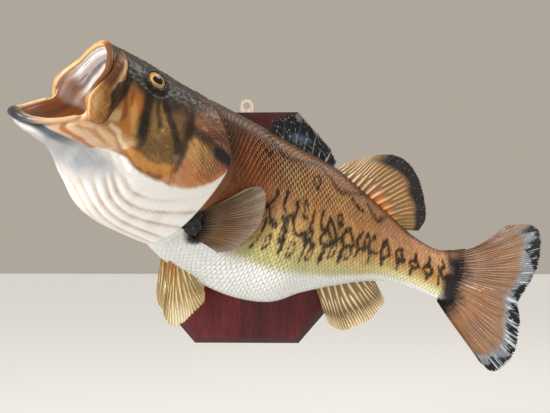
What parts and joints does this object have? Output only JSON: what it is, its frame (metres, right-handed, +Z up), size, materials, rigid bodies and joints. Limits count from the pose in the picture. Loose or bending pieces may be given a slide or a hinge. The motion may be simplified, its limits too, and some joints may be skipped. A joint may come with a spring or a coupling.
{
  "type": "mounted fish",
  "caption": "Taxidermy largemouth bass, mouth open and head turned out, on an upright cut-corner wooden wall board with a steel hanger tab.",
  "frame": {"origin": "centre of the board's flat back face, where it meets the wall", "axes": "+Y into the wall, +Z up, +X to the right of someone facing the fish; the fish stands out toward -Y with its head up and to -X"},
  "size_m": [0.5534, 0.2569, 0.3454],
  "materials": {
    "skin_dark": "painted fish skin under clear gloss lacquer, olive black",
    "skin_brown": "painted fish skin under clear gloss lacquer, copper brown over yellow green",
    "skin_pale": "painted fish skin under clear gloss lacquer, pearl white",
    "jaw": "painted skin over bone, orange tan, glossy",
    "lip_dark": "painted skin over bone, blue black, glossy",
    "fin_brown": "lacquered fin, brown with a black margin",
    "fin_cream": "lacquered fin, cream with brown patches",
    "fin_dark": "lacquered spiny fin, black",
    "eye": "glass eye, amber iris and black pupil",
    "board": "red brown stained wood, satin varnish",
    "steel": "plain zinc-coated steel"
  },
  "bodies": {
    "root": {"head": "skin_dark", "lower_jaw": "jaw", "throat": "skin_pale", "trunk": "skin_brown", "tail_stalk": "skin_brown", "upper_lip": "jaw", "lower_lip": "lip_dark", "eye_left": "eye", "eye_right": "eye", "cheek_left": "skin_brown", "cheek_right": "skin_brown", "gill_cover_left": "skin_brown", "gill_cover_right": "skin_brown", "maxilla_left": "jaw", "maxilla_right": "jaw", "spiny_dorsal_fin": "fin_dark", "soft_dorsal_fin": "fin_brown", "caudal_fin": "fin_brown", "anal_fin": "fin_cream", "pectoral_fin_left": "fin_brown", "pectoral_fin_right": "fin_brown", "pelvic_fin_left": "fin_cream", "pelvic_fin_right": "fin_cream", "board": "board", "hanger": "steel", "screw_1": "steel", "screw_2": "steel"}
  },
  "joints": []
}
